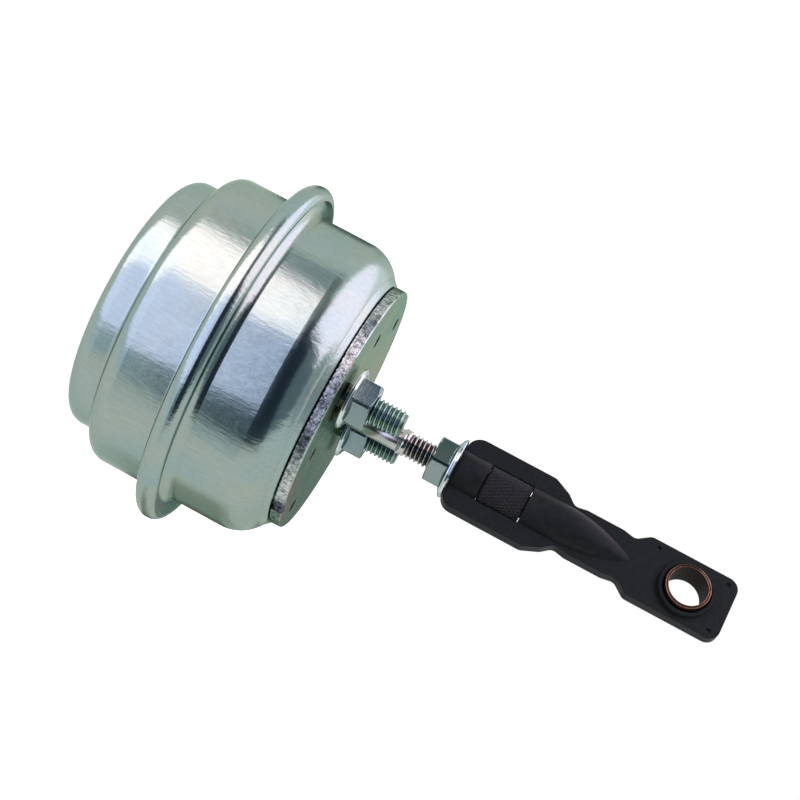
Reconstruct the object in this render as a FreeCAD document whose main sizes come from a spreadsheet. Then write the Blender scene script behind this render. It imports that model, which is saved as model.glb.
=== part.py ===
import FreeCAD, Part
import math
import os

import Sketcher

# Diaphragm actuator that sets the boost of a turbocharger.
# Millimetres. +Z runs along the rod towards the eye of the link. The origin is the centre of
# the mounting plate's front face. The flat sides of the link face -Y and +Y.

V = FreeCAD.Vector
doc = FreeCAD.newDocument("boost_actuator")

# Driving dimensions: alias, millimetres (or degrees), what it is.
DIMENSIONS = [
    ("can_radius", 34.0, "outer radius of both drawn cups"),
    ("can_sheet", 1.0, "sheet of both drawn cups"),
    ("front_corner", 8.9, "outer radius of the front cup's corner"),
    ("crimp_depth", 26.2, "mounting face to the middle of the rolled rim"),
    ("roll_height", 5.0, "rolled rim, along the axis"),
    ("roll_reach", 5.9, "rolled rim, out from the can's wall"),
    ("lip_reach", 2.2, "lip of the rolled rim, in from its outer edge"),
    ("lip_round", 2.1, "rolled rim, outer radius of the lip's bend"),
    ("rim_play", 0.5, "between the clamped edges and the inside of the rolled rim"),
    ("flange_fillet", 2.6, "front cup, where the wall turns into its flange"),
    ("flange_knee", 1.0, "rear cover, where the wall turns into its rim"),
    ("shoulder_length", 17.8, "middle of the rolled rim to the rear cover's step"),
    ("shoulder_radius", 3.9, "outer radius of the step's edge"),
    ("knee_radius", 1.0, "outer radius where the step meets the small drum"),
    ("drum_length", 7.8, "small drum, from the step to the rear face"),
    ("rear_corner", 3.6, "outer radius of the rear corner"),
    ("plate_radius", 28.3, "mounting plate"),
    ("plate_thick", 2.6, "mounting plate"),
    ("plate_edge", 0.4, "rounding of the plate's rim"),
    ("notch_width", 4.6, "index notch in the plate's rim"),
    ("notch_deep", 1.3, "index notch in the plate's rim"),
    ("notch_angle", -20.0, "index notch, from the plate's own +X"),
    ("pit_radius", 1.5, "weld pits in the plate's face"),
    ("pit_deep", 0.6, "weld pits in the plate's face"),
    ("outer_pit_circle", 23.0, "radius of the outer pair of weld pits"),
    ("outer_pit_angle", 7.0, "outer pits, above the plate's own X axis"),
    ("inner_pit_circle", 18.0, "radius of the inner pair of weld pits"),
    ("inner_pit_angle", -40.0, "inner pits, below the plate's own X axis"),
    ("stud_circle", 26.0, "pitch circle of the two studs"),
    ("stud_angle", 16.0, "stud line, turned from the Y axis"),
    ("stud_radius", 3.0, "M6 stud, free end of its thread"),
    ("stud_core", 2.7, "M6 stud, pitch radius of its thread, as drawn in the nut and behind it"),
    ("stud_length", 13.6, "stud, free length in front of the plate"),
    ("stud_chamfer", 0.7, "stud's end"),
    ("stud_head_radius", 4.0, "stud's head inside the can"),
    ("stud_head_thick", 2.0, "stud's head inside the can"),
    ("press_clear", 0.02, "radial gap drawn at pressed and brazed joints"),
    ("thread_clear", 0.05, "radial gap at threads and guides"),
    ("soft_clear", 0.3, "gap between the rubber and what it rolls on"),
    ("nut_flats", 10.0, "M6 flange nut, across flats"),
    ("nut_height", 5.4, "M6 flange nut"),
    ("nut_flange_radius", 6.85, "M6 flange nut"),
    ("nut_flange_edge", 1.1, "M6 flange nut, thickness at the flange's edge"),
    ("nut_cone_radius", 4.6, "M6 flange nut, inner end of the flange's cone"),
    ("nut_cone_height", 3.0, "M6 flange nut, top of the flange's cone"),
    ("nut_crown_radius", 4.9, "M6 flange nut, inner end of the corner chamfer"),
    ("nut_crown_slope", 0.63, "M6 flange nut, fall of the corner chamfer per millimetre"),
    ("nut_standoff", 1.1, "mounting face to the stud nuts, where the studs' thread ends"),
    ("rod_radius", 2.55, "plain part of the rod"),
    ("collar_radius", 2.9, "rod's collar behind the thread"),
    ("collar_start", 13.5, "mounting face to the rod's collar"),
    ("collar_length", 1.9, "rod's collar"),
    ("thread_radius", 3.0, "M6 thread of the rod"),
    ("thread_chamfer", 0.6, "ends of the rod's thread"),
    ("rod_neck_radius", 2.0, "rod where it carries the piston"),
    ("rivet_radius", 4.2, "riveted end of the rod"),
    ("rivet_height", 2.2, "riveted end of the rod"),
    ("rivet_round", 1.2, "riveted end of the rod"),
    ("rod_hole", 4.6, "radius of the rod's hole in plate and cup"),
    ("bush_nose_radius", 4.4, "guide bush where it passes the plate"),
    ("bush_nose_inset", 0.4, "guide bush, behind the mounting face"),
    ("bush_flange_radius", 6.2, "guide bush and wiper"),
    ("bush_flange_thick", 2.0, "guide bush"),
    ("wiper_thick", 2.7, "wiper ring"),
    ("housing_clear", 0.2, "between the bush and its housing"),
    ("housing_sheet", 0.7, "guide housing"),
    ("housing_corner", 1.2, "guide housing, outer corner"),
    ("housing_flange", 1.6, "guide housing, width of its welded flange"),
    ("housing_hole", 3.6, "guide housing, radius of the rod's hole"),
    ("stop_gap", 0.3, "between the housing and the front plate of the piston"),
    ("disc_radius", 21.5, "diaphragm plate"),
    ("disc_thick", 1.2, "diaphragm plate"),
    ("disc_round", 0.9, "diaphragm plate, front edge"),
    ("clamp_gap", 1.0, "between the diaphragm plate and the piston"),
    ("clamp_slack", 0.04, "gap drawn on each side of the clamped middle of the diaphragm"),
    ("rubber", 0.8, "diaphragm, thickness of its rolling wall"),
    ("bead_inner", 35.2, "diaphragm, inner radius of the clamped bead"),
    ("bead_thick", 2.0, "diaphragm, clamped bead"),
    ("fold_depth", 6.3, "middle of the rolled rim to the bottom of the rolling fold"),
    ("piston_radius", 25.0, "piston"),
    ("piston_sheet", 1.2, "piston"),
    ("piston_corner", 3.0, "piston, outer radius of the head's edge"),
    ("piston_length", 19.0, "piston"),
    ("washer_radius", 7.0, "rivet washer"),
    ("washer_thick", 1.2, "rivet washer"),
    ("wire_radius", 1.6, "return spring"),
    ("coil_radius", 20.5, "return spring, mean radius"),
    ("coil_turns", 5.0, "return spring"),
    ("seat_outer", 23.5, "spring seat"),
    ("seat_inner", 17.2, "spring seat"),
    ("seat_sheet", 1.2, "spring seat"),
    ("seat_collar", 5.1, "spring seat, height of its collar"),
    ("nipple_place", 9.9, "middle of the rolled rim to the hose nipple's axis"),
    ("nipple_radius", 2.4, "hose nipple"),
    ("nipple_bore", 1.5, "hose nipple, radius of its bore"),
    ("nipple_length", 15.0, "hose nipple, free length"),
    ("nipple_chamfer", 0.5, "hose nipple, chamfer of its free end"),
    ("nipple_collar", 4.2, "hose nipple, radius of its collar"),
    ("nipple_collar_thick", 1.4, "hose nipple"),
    ("nipple_inside", 1.8, "hose nipple, length inside the wall's outer face"),
    ("link_start", 26.6, "mounting face to the link"),
    ("link_length", 64.4, "link"),
    ("link_sheet", 1.2, "each half of the link"),
    ("wide_half", 9.1, "link, half width at the sleeve"),
    ("wide_corner", 3.2, "link, corner at the nut"),
    ("wide_end", 19.9, "link, end of the wide part"),
    ("taper_half", 7.2, "link, half width at the end of the taper"),
    ("taper_end", 23.8, "link, end of the taper"),
    ("relief_half", 5.2, "link, half width in the two reliefs"),
    ("first_relief", 26.0, "link, bottom of the first relief"),
    ("neck_half", 5.8, "link, half width of the neck"),
    ("neck_start", 28.8, "link, start of the neck"),
    ("neck_end", 37.4, "link, end of the neck"),
    ("second_relief", 40.4, "link, bottom of the second relief"),
    ("eye_half", 7.6, "link, half width at the eye"),
    ("eye_start", 43.4, "link, start of the eye part"),
    ("end_corner", 2.6, "link, corners of its end"),
    ("wide_round", 2.2, "link, rounding where the wide part ends"),
    ("taper_round", 1.4, "link, rounding where the taper ends"),
    ("relief_round", 1.8, "link, roundings in the reliefs and the neck"),
    ("eye_round", 2.0, "link, rounding where the eye part starts"),
    ("boss_radius", 4.75, "link, outside of the tubular boss"),
    ("boss_length", 41.0, "link, length of the boss"),
    ("boss_fall", 9.0, "link, length over which the boss falls back to the sheet"),
    ("boss_bend", 38.0, "link, radius of the boss's falling back"),
    ("bore_length", 24.2, "link, straight part of the channel"),
    ("boss_tip", 5.0, "link, from the channel's end to the end of the boss"),
    ("window_start", 6.65, "link, window for the sleeve"),
    ("window_length", 10.15, "link, window for the sleeve"),
    ("window_clear", 0.3, "between the window's side and the sleeve"),
    ("window_corner", 0.4, "link, corners of the window"),
    ("sleeve_radius", 4.55, "adjuster sleeve"),
    ("sleeve_chamfer", 0.4, "adjuster sleeve"),
    ("sleeve_end_clear", 0.15, "between the sleeve's ends and the window"),
    ("rod_past_link", 20.0, "length of the rod inside the link"),
    ("eye_place", 54.4, "link, nut end to the eye's centre"),
    ("eye_radius", 4.3, "bore of the eye's bush"),
    ("bush_wall", 0.7, "eye bush"),
    ("bush_length", 6.8, "eye bush"),
    ("bush_round", 0.3, "eye bush, rounding of its ends"),
    ("eye_groove", 0.45, "gap between the eye's collar and the bush"),
    ("eye_collar_wall", 0.7, "collar drawn up round the eye"),
    ("eye_collar_height", 1.2, "collar drawn up round the eye"),
    ("dimple_radius", 0.55, "clinch dimples near the eye"),
    ("dimple_deep", 0.4, "clinch dimples near the eye"),
    ("dimple_half", 5.9, "clinch dimples, from the link's middle"),
    ("dimple_near", 45.7, "clinch dimple before the eye"),
    ("dimple_far", 62.0, "clinch dimples past the eye"),
]

FLAT = 0.02     # shortest straight piece between two roundings, and the gap at faces that rest
HALF_TURN = 180.0
FULL_TURN = 360.0
ROOT_3 = math.sqrt(3.0)
NUT_TURN = 28.0     # a corner of each nut's hexagon points this far from -Y, towards +X
LEAST_CUT = 0.001   # cubic millimetres that every cut must take away


def fill_sheet(rows):
    """Writes the driving dimensions into the spreadsheet and returns it."""
    table = doc.addObject("Spreadsheet::Sheet", "sizes")
    for row, (alias, value, note) in enumerate(rows, start=1):
        table.set(f"A{row}", alias)
        table.set(f"B{row}", str(value))
        table.set(f"C{row}", note)
        table.setAlias(f"B{row}", alias)
    doc.recompute()
    return table


class Size:
    """A length, kept both as a number and as the expression that ties it to the sheet."""

    def __init__(self, text, value):
        self.text = text
        self.value = value

    def __add__(self, other):
        other = as_size(other)
        return Size(f"({self.text} + {other.text})", self.value + other.value)

    def __sub__(self, other):
        other = as_size(other)
        return Size(f"({self.text} - {other.text})", self.value - other.value)

    def __mul__(self, other):
        other = as_size(other)
        return Size(f"({self.text} * {other.text})", self.value * other.value)

    def __truediv__(self, other):
        other = as_size(other)
        return Size(f"({self.text} / {other.text})", self.value / other.value)

    def __neg__(self):
        return Size(f"(0 - {self.text})", -self.value)

    def sine(self):
        return Size(f"sin({self.text} * 1 deg)", math.sin(math.radians(self.value)))

    def cosine(self):
        return Size(f"cos({self.text} * 1 deg)", math.cos(math.radians(self.value)))


def as_size(item):
    """Plain numbers, such as 2 or 0, may stand in a formula beside sizes."""
    if isinstance(item, Size):
        return item
    return Size(repr(float(item)), float(item))


sheet = fill_sheet(DIMENSIONS)
size = {alias: Size(f"sizes.{alias}", float(sheet.get(alias))) for alias, _, _ in DIMENSIONS}
ZERO = as_size(0)


def bind(feature, path, length):
    """Ties one property or constraint of a feature to the sheet."""
    feature.setExpression(path, as_size(length).text)


def origin_plane(body, role):
    """One of a body's own origin planes, such as XZ_Plane."""
    return next(item for item in body.Origin.OriginFeatures if item.Role == role)


def new_body(label):
    body = doc.addObject("PartDesign::Body", label)
    body.Label = label
    return body


def new_sketch(body, name, role="XZ_Plane"):
    sketch = body.newObject("Sketcher::SketchObject", name)
    sketch.AttachmentSupport = [(origin_plane(body, role), "")]
    sketch.MapMode = "FlatFace"
    return sketch


def place_point(sketch, geometry, end, across, along):
    """Holds a point of the sketch at two lengths from the sketch's origin."""
    for kind, axis, length in (("DistanceX", -2, across), ("DistanceY", -1, along)):
        if length is ZERO:
            sketch.addConstraint(Sketcher.Constraint("PointOnObject", geometry, end, axis))
        else:
            index = sketch.addConstraint(
                Sketcher.Constraint(kind, -1, 1, geometry, end, length.value))
            bind(sketch, f"Constraints[{index}]", length)


def corner_arc(before, corner, after, radius):
    """Tangent points, centre and side of the rounding of one corner."""
    to_before = (before - corner).normalize()
    to_after = (after - corner).normalize()
    half = to_before.getAngle(to_after) / 2
    first = corner + to_before * (radius / math.tan(half))
    last = corner + to_after * (radius / math.tan(half))
    middle = (to_before + to_after).normalize()
    centre = corner + middle * (radius / math.sin(half))
    turns_left = to_before.cross(to_after).z < 0
    return first, last, centre, turns_left


def draw_outline(sketch, corners):
    """Draws a closed outline. Each corner is (across, along) or (across, along, rounding)."""
    corners = [tuple(corner) + (None,) * (3 - len(corner)) for corner in corners]
    places = [V(as_size(x).value, as_size(y).value, 0) for x, y, _ in corners]
    count = len(corners)
    arcs = {}
    for i, (_, _, rounding) in enumerate(corners):
        if rounding is not None:
            arcs[i] = corner_arc(places[i - 1], places[i], places[(i + 1) % count],
                                 as_size(rounding).value)
    lines = []
    for i in range(count):
        after = (i + 1) % count
        start = arcs[i][1] if i in arcs else places[i]
        stop = arcs[after][0] if after in arcs else places[after]
        lines.append(sketch.addGeometry(Part.LineSegment(start, stop), False))
    for i, (across, along, rounding) in enumerate(corners):
        line_in, line_out = lines[i - 1], lines[i]
        if i not in arcs:
            sketch.addConstraint(Sketcher.Constraint("Coincident", line_in, 2, line_out, 1))
            place_point(sketch, line_out, 1, across, along)
            continue
        first, last, centre, turns_left = arcs[i]
        begin, finish = (first, last) if turns_left else (last, first)
        circle = Part.Circle(centre, V(0, 0, 1), as_size(rounding).value)
        arc = sketch.addGeometry(
            Part.ArcOfCircle(circle, angle_of(begin - centre), angle_of(finish - centre)), False)
        end_in, end_out = (1, 2) if turns_left else (2, 1)
        sketch.addConstraint(Sketcher.Constraint("Tangent", line_in, 2, arc, end_in))
        sketch.addConstraint(Sketcher.Constraint("Tangent", arc, end_out, line_out, 1))
        radius = sketch.addConstraint(
            Sketcher.Constraint("Radius", arc, as_size(rounding).value))
        bind(sketch, f"Constraints[{radius}]", rounding)
        point = sketch.addGeometry(Part.Point(places[i]), True)
        sketch.addConstraint(Sketcher.Constraint("PointOnObject", point, 1, line_in))
        sketch.addConstraint(Sketcher.Constraint("PointOnObject", point, 1, line_out))
        place_point(sketch, point, 1, across, along)


def angle_of(arrow):
    return math.atan2(arrow.y, arrow.x)


def draw_circle(sketch, across, along, radius):
    centre = V(across.value, along.value, 0)
    circle = sketch.addGeometry(Part.Circle(centre, V(0, 0, 1), as_size(radius).value), False)
    place_point(sketch, circle, 3, across, along)
    index = sketch.addConstraint(Sketcher.Constraint("Radius", circle, as_size(radius).value))
    bind(sketch, f"Constraints[{index}]", radius)


def revolve(body, name, corners, kind="PartDesign::Revolution", angle=FULL_TURN, back=False):
    """Turns an outline about the body's Z axis, to add material or (Groove) to take it away."""
    sketch = new_sketch(body, f"{name}_outline")
    draw_outline(sketch, corners)
    feature = body.newObject(kind, name)
    feature.Profile = sketch
    feature.ReferenceAxis = (sketch, ["V_Axis"])
    feature.Angle = angle
    feature.Reversed = back
    doc.recompute()
    return feature


def pad(body, name, sketch, length, back=False):
    """Raises a sketch to a length, to the front of its plane or to the back."""
    feature = body.newObject("PartDesign::Pad", name)
    feature.Profile = sketch
    feature.Reversed = back
    bind(feature, "Length", length)
    doc.recompute()


def cut(body, name, sketch, depth=None):
    """Pockets a sketch to a depth, or else right through the body to both sides."""
    before = body.Shape.Volume
    pocket = body.newObject("PartDesign::Pocket", name)
    pocket.Profile = sketch
    if depth is None:
        pocket.Type = "ThroughAll"
        pocket.Midplane = True
    else:
        bind(pocket, "Length", depth)
    doc.recompute()
    if body.Shape.Volume > before - LEAST_CUT:
        raise RuntimeError(f"{name} cuts nothing")


def turned_part(label, corners):
    """A sub-part that is one turned or drawn outline."""
    body = new_body(label)
    revolve(body, f"{label}_form", corners)
    return body


def turn_about_z(item, angle):
    """Turns a finished sub-part about the can's axis."""
    item.Placement = FreeCAD.Placement(V(), FreeCAD.Rotation(V(0, 0, 1), angle.value))
    bind(item, "Placement.Rotation.Angle", angle)


# Heights along the axis that several pieces share.
crimp = -size["crimp_depth"]
rim_rear = crimp - size["roll_height"] / 2
rim_front = crimp + size["roll_height"] / 2
rim_radius = size["can_radius"] + size["roll_reach"]
can_inside = size["can_radius"] - size["can_sheet"]
cup_face = -size["plate_thick"]
cup_inside = cup_face - size["can_sheet"]
flange_front = rim_front - size["can_sheet"]
flange_back = flange_front - size["can_sheet"]
bead_back = flange_back - size["bead_thick"]
lip_bend = rim_radius - size["lip_round"]
clamped_radius = rim_radius - size["can_sheet"] - size["rim_play"]
step_face = crimp - size["shoulder_length"]
rear_face = step_face - size["drum_length"]
rear_inside = rear_face + size["can_sheet"]
nipple_height = crimp - size["nipple_place"]
drum_radius = size["can_radius"] - size["shoulder_radius"] - size["knee_radius"] - FLAT
drum_inside = drum_radius - size["can_sheet"]
bush_back = cup_inside - size["bush_flange_thick"] - FLAT
wiper_back = bush_back - size["wiper_thick"]
housing_back = wiper_back - size["housing_sheet"] - FLAT
disc_front = housing_back - size["stop_gap"]
disc_back = disc_front - size["disc_thick"]
piston_front = disc_back - size["clamp_gap"]
piston_inside = piston_front - size["piston_sheet"]
washer_back = piston_inside - size["washer_thick"]
rivet_end = washer_back - size["rivet_height"]
neck_bore = size["rod_neck_radius"] + size["thread_clear"]
rod_bore = size["rod_radius"] + size["thread_clear"]
nut_bore = size["thread_radius"] + size["thread_clear"]
stud_nut_bore = size["stud_core"] + size["thread_clear"]
stud_nut_end = size["nut_standoff"] + size["nut_height"]
seat_face = rear_inside + size["seat_sheet"]
roll_round = size["roll_height"] / 2 - FLAT


def rear_cover():
    """Stepped cup whose rim is rolled over the front cup's flange and the diaphragm's bead."""
    sheet_thick = size["can_sheet"]
    inner_radius = rim_radius - sheet_thick
    body = turned_part("rear_cover", [
        (ZERO, rear_face),
        (drum_radius, rear_face, size["rear_corner"]),
        (drum_radius, step_face, size["knee_radius"]),
        (size["can_radius"], step_face, size["shoulder_radius"]),
        (size["can_radius"], rim_rear, size["flange_knee"]),
        (rim_radius, rim_rear, roll_round),
        (rim_radius, rim_front, size["lip_round"]),
        (rim_radius - size["lip_reach"], rim_front),
        (rim_radius - size["lip_reach"], flange_front),
        (inner_radius, flange_front, size["lip_round"] - sheet_thick),
        (inner_radius, bead_back, roll_round - sheet_thick),
        (can_inside, bead_back, size["flange_knee"] + sheet_thick),
        (can_inside, step_face + sheet_thick, size["shoulder_radius"] - sheet_thick),
        (drum_inside, step_face + sheet_thick, size["knee_radius"] + sheet_thick),
        (drum_inside, rear_inside, size["rear_corner"] - sheet_thick),
        (ZERO, rear_inside),
    ])
    hole = new_sketch(body, "nipple_hole_outline")
    draw_circle(hole, ZERO, nipple_height, size["nipple_radius"] + size["press_clear"])
    cut(body, "nipple_hole", hole, size["can_radius"])
    return body


def front_cup():
    """Drawn cup with a large corner. Its flange is clamped in the rear cover's rolled rim."""
    sheet_thick = size["can_sheet"]
    body = turned_part("front_cup", [
        (size["rod_hole"], cup_face),
        (size["can_radius"], cup_face, size["front_corner"]),
        (size["can_radius"], flange_front, size["flange_fillet"]),
        (clamped_radius, flange_front, clamped_radius - lip_bend),
        (clamped_radius, flange_back),
        (can_inside, flange_back, size["flange_fillet"] + sheet_thick),
        (can_inside, cup_inside, size["front_corner"] - sheet_thick),
        (size["rod_hole"], cup_inside),
    ])
    cut_stud_holes(body)
    turn_about_z(body, size["stud_angle"])
    return body


def cut_stud_holes(body):
    """Two holes for the studs, on the body's own Y axis."""
    holes = new_sketch(body, f"{body.Label}_stud_holes_outline", "XY_Plane")
    for place in (-size["stud_circle"] / 2, size["stud_circle"] / 2):
        draw_circle(holes, ZERO, place, size["stud_core"] + size["press_clear"])
    cut(body, f"{body.Label}_stud_holes", holes)


def mounting_plate():
    """Disc welded to the front cup, with the studs' holes, four weld pits and a rim notch."""
    body = turned_part("mounting_plate", [
        (size["rod_hole"], cup_face),
        (size["plate_radius"], cup_face, size["plate_edge"]),
        (size["plate_radius"], ZERO, size["plate_edge"]),
        (size["rod_hole"], ZERO),
    ])
    cut_stud_holes(body)
    pits = new_sketch(body, "weld_pits_outline", "XY_Plane")
    for circle, turn in (("outer_pit_circle", "outer_pit_angle"),
                         ("inner_pit_circle", "inner_pit_angle")):
        across = size[circle] * size[turn].cosine()
        along = size[circle] * size[turn].sine()
        draw_circle(pits, across, along, size["pit_radius"])
        draw_circle(pits, -across, along, size["pit_radius"])
    cut(body, "weld_pits", pits, size["pit_deep"])
    notch = new_sketch(body, "notch_outline", "XY_Plane")
    half = size["notch_width"] / 2
    cosine = size["notch_angle"].cosine()
    sine = size["notch_angle"].sine()
    bottom = size["plate_radius"] - size["notch_deep"]
    past = size["plate_radius"] + size["notch_deep"]
    draw_outline(notch, [
        (bottom * cosine + half * sine, bottom * sine - half * cosine),
        (past * cosine + half * sine, past * sine - half * cosine),
        (past * cosine - half * sine, past * sine + half * cosine),
        (bottom * cosine - half * sine, bottom * sine + half * cosine),
    ])
    cut(body, "rim_notch", notch)
    turn_about_z(body, size["stud_angle"])
    return body


def pair_about_axis(label, make, turn, lift):
    """Two like pieces, on each side of the axis along the stud line, as one sub-part."""
    pieces = []
    for mark, place in (("near", -size["stud_circle"] / 2), ("far", size["stud_circle"] / 2)):
        piece = make(f"{label}_{mark}")
        piece.Placement = FreeCAD.Placement(
            V(0, place.value, lift.value), FreeCAD.Rotation(V(0, 0, 1), turn))
        bind(piece, "Placement.Base.y", place)
        bind(piece, "Placement.Base.z", lift)
        pieces.append(piece)
    pair = doc.addObject("Part::Compound", label)
    pair.Label = label
    pair.Links = pieces
    turn_about_z(pair, size["stud_angle"])
    return pair


def stud(label):
    """M6 stud whose head lies on the inside of the front cup. Its full thread shows past the nut."""
    return turned_part(label, [
        (ZERO, cup_inside - size["stud_head_thick"]),
        (size["stud_head_radius"], cup_inside - size["stud_head_thick"]),
        (size["stud_head_radius"], cup_inside),
        (size["stud_core"], cup_inside),
        (size["stud_core"], stud_nut_end + FLAT),
        (size["stud_radius"], stud_nut_end + FLAT),
        (size["stud_radius"], size["stud_length"] - size["stud_chamfer"]),
        (size["stud_radius"] - size["stud_chamfer"], size["stud_length"]),
        (ZERO, size["stud_length"]),
    ])


def flange_nut(label, bore):
    """M6 flange nut standing on its flange, with chamfered corners at the other end."""
    body = turned_part(label, [
        (bore, ZERO),
        (size["nut_flange_radius"], ZERO),
        (size["nut_flange_radius"], size["nut_flange_edge"]),
        (size["nut_cone_radius"], size["nut_cone_height"]),
        (bore, size["nut_cone_height"]),
    ])
    hexagon = new_sketch(body, f"{label}_hexagon", "XY_Plane")
    flat = size["nut_flats"] / 2
    point = size["nut_flats"] / ROOT_3
    draw_outline(hexagon, [
        (ZERO, -point),
        (flat, -(point / 2)),
        (flat, point / 2),
        (ZERO, point),
        (-flat, point / 2),
        (-flat, -(point / 2)),
    ])
    draw_circle(hexagon, ZERO, ZERO, bore)
    pad(body, f"{label}_prism", hexagon, size["nut_height"])
    past = size["nut_flange_radius"]
    fall = (past - size["nut_crown_radius"]) * size["nut_crown_slope"]
    revolve(body, f"{label}_crown", [
        (size["nut_crown_radius"], size["nut_height"]),
        (past, size["nut_height"] - fall),
        (past, size["nut_height"]),
    ], kind="PartDesign::Groove")
    return body


def stud_nut(label):
    """Flange nut of a stud."""
    return flange_nut(label, stud_nut_bore)


def vacuum_nipple():
    """Hose tube brazed into the far side of the rear cover, with a collar at the wall."""
    wall = size["can_radius"]
    tip = wall + size["nipple_length"]
    collar_end = wall + size["nipple_collar_thick"] + FLAT
    chamfer = size["nipple_chamfer"]
    body = turned_part("vacuum_nipple", [
        (size["nipple_bore"], wall - size["nipple_inside"]),
        (size["nipple_radius"], wall - size["nipple_inside"]),
        (size["nipple_radius"], wall + FLAT),
        (size["nipple_collar"], wall + FLAT),
        (size["nipple_collar"], collar_end),
        (size["nipple_radius"], collar_end),
        (size["nipple_radius"], tip - chamfer),
        (size["nipple_radius"] - chamfer, tip),
        (size["nipple_bore"], tip),
    ])
    body.Placement = FreeCAD.Placement(
        V(0, 0, nipple_height.value), FreeCAD.Rotation(V(1, 0, 0), -HALF_TURN / 2))
    bind(body, "Placement.Base.z", nipple_height)
    return body


def diaphragm():
    """Rubber diaphragm: a centre over the piston's head, a rolling fold and a clamped bead."""
    gap = size["soft_clear"]
    thick = size["rubber"]
    slack = size["clamp_slack"]
    head_low = piston_front + slack
    head_high = disc_back - slack
    skirt_in = size["piston_radius"] + gap
    skirt_out = skirt_in + thick
    wall_out = can_inside - gap
    wall_in = wall_out - thick
    bottom = crimp - size["fold_depth"]
    low = bead_back + gap
    high = low + thick
    fold_outer = (wall_out - skirt_in) / 2 - FLAT
    fold_inner = fold_outer - thick
    knee = size["flange_knee"] + size["can_sheet"] + gap
    bead_outer = clamped_radius
    return turned_part("diaphragm", [
        (neck_bore, head_low),
        (skirt_in, head_low, size["piston_corner"] + gap),
        (skirt_in, bottom, fold_outer),
        (wall_out, bottom, fold_outer),
        (wall_out, low, knee),
        (size["bead_inner"], low),
        (size["bead_inner"], bead_back),
        (bead_outer, bead_back, size["can_sheet"]),
        (bead_outer, flange_back),
        (size["bead_inner"] + thick, flange_back),
        (size["bead_inner"], high),
        (wall_in, high, knee + thick),
        (wall_in, bottom + thick, fold_inner),
        (skirt_out, bottom + thick, fold_inner),
        (skirt_out, head_high, size["piston_corner"] + gap + thick),
        (neck_bore, head_high),
    ])


def piston():
    """Drawn cup behind the diaphragm. The return spring pushes on the inside of its head."""
    inner = size["piston_radius"] - size["piston_sheet"]
    end = piston_front - size["piston_length"]
    return turned_part("piston", [
        (neck_bore, piston_front),
        (size["piston_radius"], piston_front, size["piston_corner"]),
        (size["piston_radius"], end),
        (inner, end),
        (inner, piston_inside, size["piston_corner"] - size["piston_sheet"]),
        (neck_bore, piston_inside),
    ])


def diaphragm_plate():
    """Disc that clamps the middle of the diaphragm on the piston's head."""
    return turned_part("diaphragm_plate", [
        (neck_bore, disc_front),
        (size["disc_radius"], disc_front, size["disc_round"]),
        (size["disc_radius"], disc_back),
        (neck_bore, disc_back),
    ])


def rivet_washer():
    return turned_part("rivet_washer", [
        (neck_bore, piston_inside),
        (size["washer_radius"], piston_inside),
        (size["washer_radius"], washer_back),
        (neck_bore, washer_back),
    ])


def spring_seat():
    """Ring on the floor of the rear cover, with a collar inside the spring."""
    collar = size["seat_inner"] + size["seat_sheet"]
    collar_top = rear_inside + size["seat_collar"]
    return turned_part("spring_seat", [
        (size["seat_inner"], rear_inside),
        (size["seat_outer"], rear_inside),
        (size["seat_outer"], seat_face),
        (collar, seat_face),
        (collar, collar_top),
        (size["seat_inner"], collar_top),
    ])


def return_spring():
    """Coil spring between the seat and the piston's head, drawn at its fitted length."""
    body = new_body("return_spring")
    start = seat_face + size["wire_radius"] + FLAT
    height = piston_inside - size["wire_radius"] - FLAT - start
    wire = new_sketch(body, "wire_outline")
    draw_circle(wire, size["coil_radius"], start, size["wire_radius"])
    coil = body.newObject("PartDesign::AdditiveHelix", "coil")
    coil.Profile = wire
    coil.ReferenceAxis = (wire, ["V_Axis"])
    coil.Mode = "pitch-height-angle"
    bind(coil, "Height", height)
    bind(coil, "Pitch", height / size["coil_turns"])
    coil.Height = height.value
    coil.Pitch = height.value / size["coil_turns"].value
    doc.recompute()
    return body


def guide_bush():
    """Flanged bush that guides the rod, with its nose in the hole of the cup and the plate."""
    nose = -size["bush_nose_inset"]
    front = cup_inside - FLAT
    return turned_part("guide_bush", [
        (rod_bore, nose),
        (size["bush_nose_radius"], nose),
        (size["bush_nose_radius"], front),
        (size["bush_flange_radius"], front),
        (size["bush_flange_radius"], bush_back),
        (rod_bore, bush_back),
    ])


def rod_wiper():
    """Ring behind the bush that keeps dirt off the rod."""
    return turned_part("rod_wiper", [
        (rod_bore, bush_back - FLAT),
        (size["bush_flange_radius"], bush_back - FLAT),
        (size["bush_flange_radius"], wiper_back, size["housing_corner"] - size["housing_sheet"]),
        (rod_bore, wiper_back),
    ])


def guide_housing():
    """Small drawn cup welded inside the front cup. It holds the bush and is the front stop."""
    inner = size["bush_flange_radius"] + size["housing_clear"]
    outer = inner + size["housing_sheet"]
    flange = outer + size["housing_flange"]
    inner_back = housing_back + size["housing_sheet"]
    return turned_part("guide_housing", [
        (size["housing_hole"], housing_back),
        (outer, housing_back, size["housing_corner"]),
        (outer, cup_inside - size["housing_sheet"]),
        (flange, cup_inside - size["housing_sheet"]),
        (flange, cup_inside),
        (inner, cup_inside),
        (inner, inner_back, size["housing_corner"] - size["housing_sheet"]),
        (size["housing_hole"], inner_back),
    ])


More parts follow.
